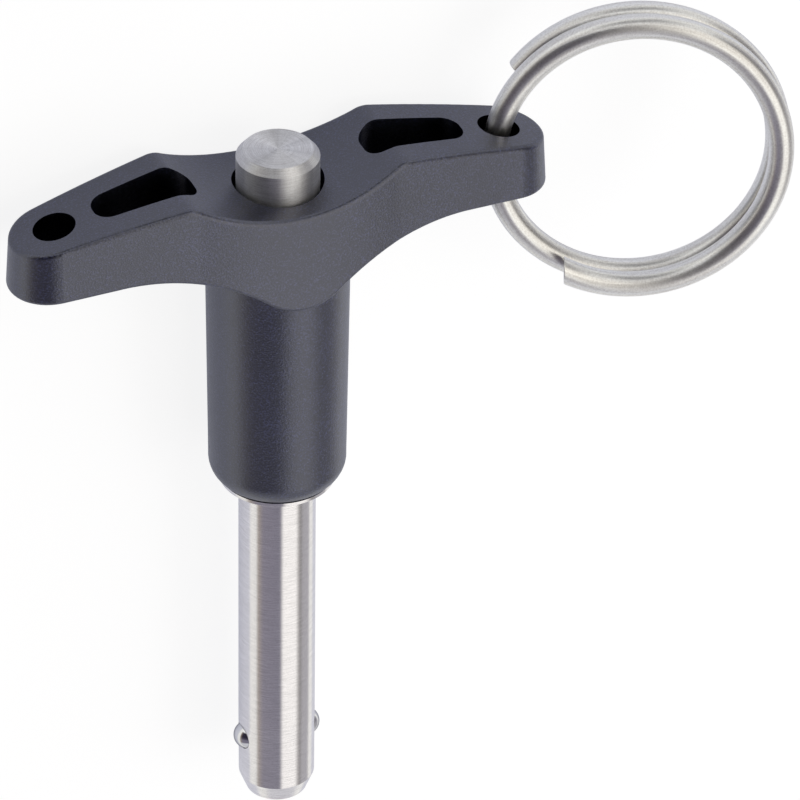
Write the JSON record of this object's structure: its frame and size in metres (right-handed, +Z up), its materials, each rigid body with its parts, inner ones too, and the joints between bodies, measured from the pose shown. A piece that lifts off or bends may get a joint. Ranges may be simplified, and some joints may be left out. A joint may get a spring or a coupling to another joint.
{
  "type": "ball lock pin",
  "caption": "Quick-release ball lock pin: moulded T-handle with slotted wings, push button, ground shank with two locking balls at the tip, and a split ring through one wing.",
  "frame": {"origin": "on the pin's axis, on the face of the flange that the ground shank leaves and that stops the pin in its hole", "axes": "+Y along the pin towards the push button, so the tip is towards -Y; +X along the T-handle's bar towards the wing that holds the split ring; +Z up from the surface that the pin lies on"},
  "size_m": [0.0828, 0.0894, 0.0191],
  "materials": {
    "handle_plastic": "fine-grained moulded glass-filled nylon",
    "ground_steel": "ground all round",
    "spindle_steel": "turned",
    "ball_steel": "polished",
    "turned_steel": "turned, with a spun face",
    "spring_steel": "drawn wire",
    "ring_steel": "satin drawn wire"
  },
  "bodies": {
    "handle": {"t_handle": "handle_plastic", "shank": "ground_steel", "return_spring": "spring_steel"},
    "button": {"push_button": "turned_steel", "spindle": "spindle_steel"},
    "ball_left": {"ball_left": "ball_steel"},
    "ball_right": {"ball_right": "ball_steel"},
    "ring": {"split_ring": "ring_steel"}
  },
  "joints": [
    {"name": "button_press", "type": "slide", "parent": "handle", "child": "button", "axis": [0, -1, 0], "range_m": [0, 0.004], "stiffness_N_per_m": 1300, "springref_m": -0.005, "deforming": ["return_spring"]},
    {"name": "ball_left_slide", "type": "slide", "parent": "handle", "child": "ball_left", "axis": [1, 0, 0], "range_m": [0, 0.0008]},
    {"name": "ball_right_slide", "type": "slide", "parent": "handle", "child": "ball_right", "axis": [-1, 0, 0], "range_m": [0, 0.0008]},
    {"name": "ring_swing", "type": "hinge", "parent": "handle", "child": "ring", "pos_m": [0.02424, 0.03336, 0], "axis": [0, 1, 0], "range_deg": [-132, 174]}
  ],
  "couplings": [
    {"joint": "ball_left_slide", "follows": "button_press", "ratio": 0.2},
    {"joint": "ball_right_slide", "follows": "button_press", "ratio": 0.2}
  ]
}
